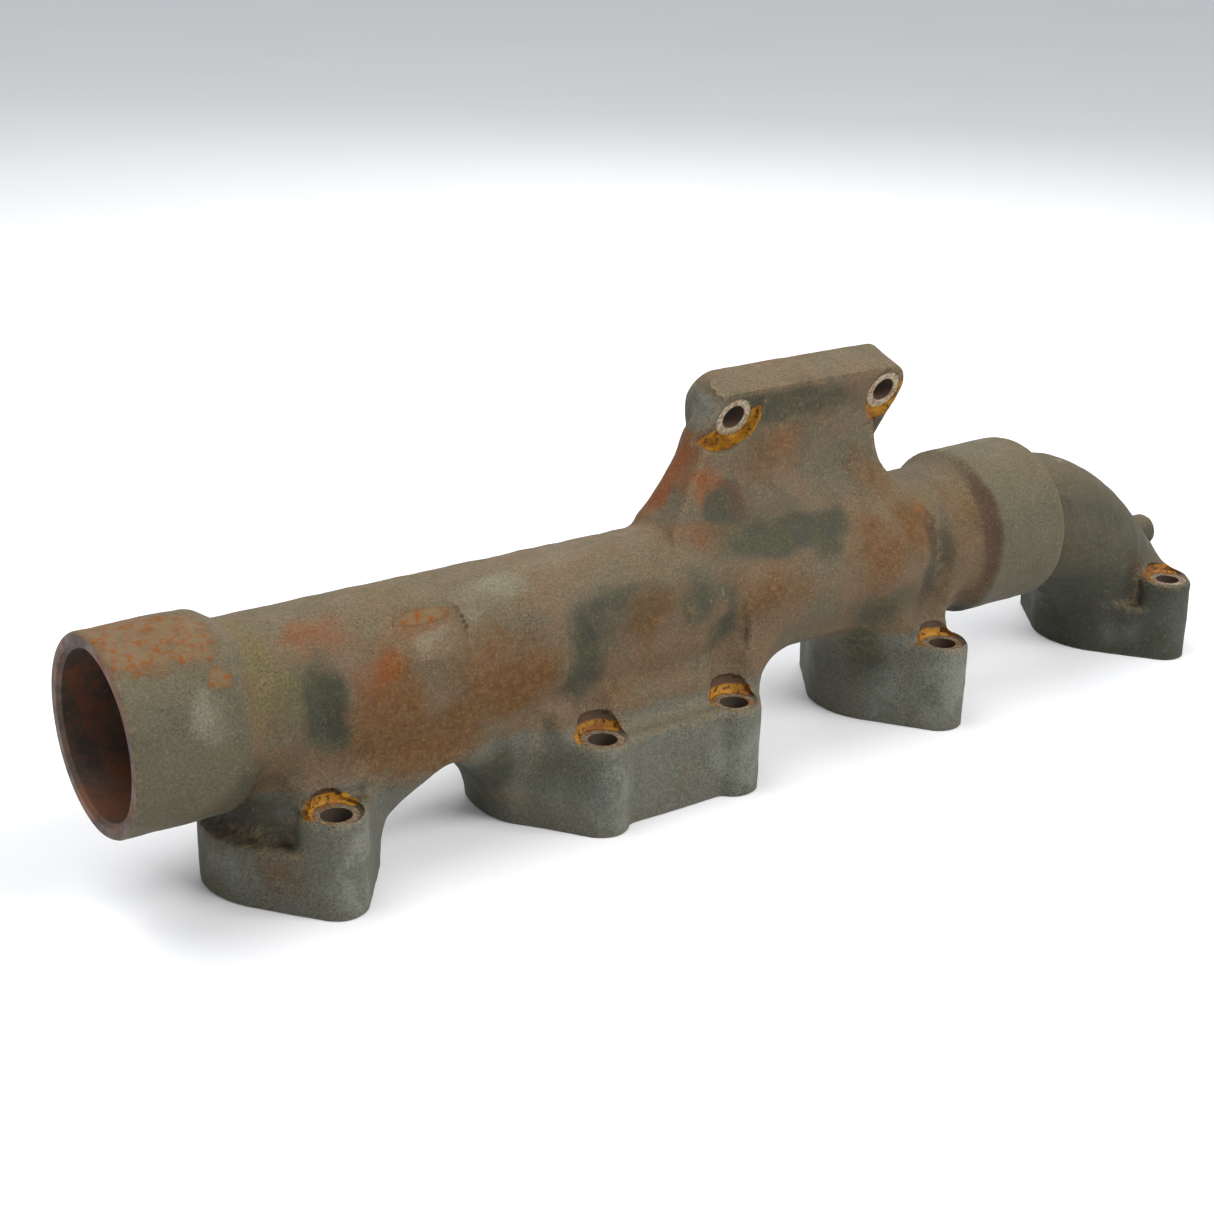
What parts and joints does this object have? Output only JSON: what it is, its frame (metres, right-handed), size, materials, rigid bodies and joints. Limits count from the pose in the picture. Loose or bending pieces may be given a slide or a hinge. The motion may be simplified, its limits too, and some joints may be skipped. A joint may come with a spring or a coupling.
{
  "type": "exhaust manifold",
  "caption": "Cast exhaust manifold: gallery tube with port flanges below, an angled turbocharger flange on top, sockets at both ends and a slip-fit end elbow with seal rings.",
  "frame": {"origin": "on the cylinder-head face, under the middle of the gallery tube", "axes": "+X along the engine towards the end elbow, +Z out of the cylinder head, +Y the side the turbocharger flange faces"},
  "size_m": [0.5665, 0.0998, 0.1644],
  "materials": {
    "centre_casting": "rough sand-cast surface, old olive-grey paint with heat discoloration and rust",
    "elbow_casting": "rough sand-cast surface, old olive-grey paint with heat discoloration and rust",
    "ring_steel": "heat-tinted sprung steel"
  },
  "bodies": {
    "manifold": {"centre_section": "centre_casting"},
    "ring_pack": {"inboard_seal_ring": "ring_steel", "outboard_seal_ring": "ring_steel", "seal_backing_ring": "ring_steel"},
    "elbow": {"end_elbow": "elbow_casting"}
  },
  "joints": [
    {"name": "slip_joint_slide", "type": "slide", "parent": "manifold", "child": "ring_pack", "axis": [1, 0, 0], "range_m": [-0.005, 0.012]},
    {"name": "elbow_swivel", "type": "hinge", "parent": "ring_pack", "child": "elbow", "pos_m": [0.21, 0, 0.073], "axis": [1, 0, 0], "continuous": true}
  ]
}
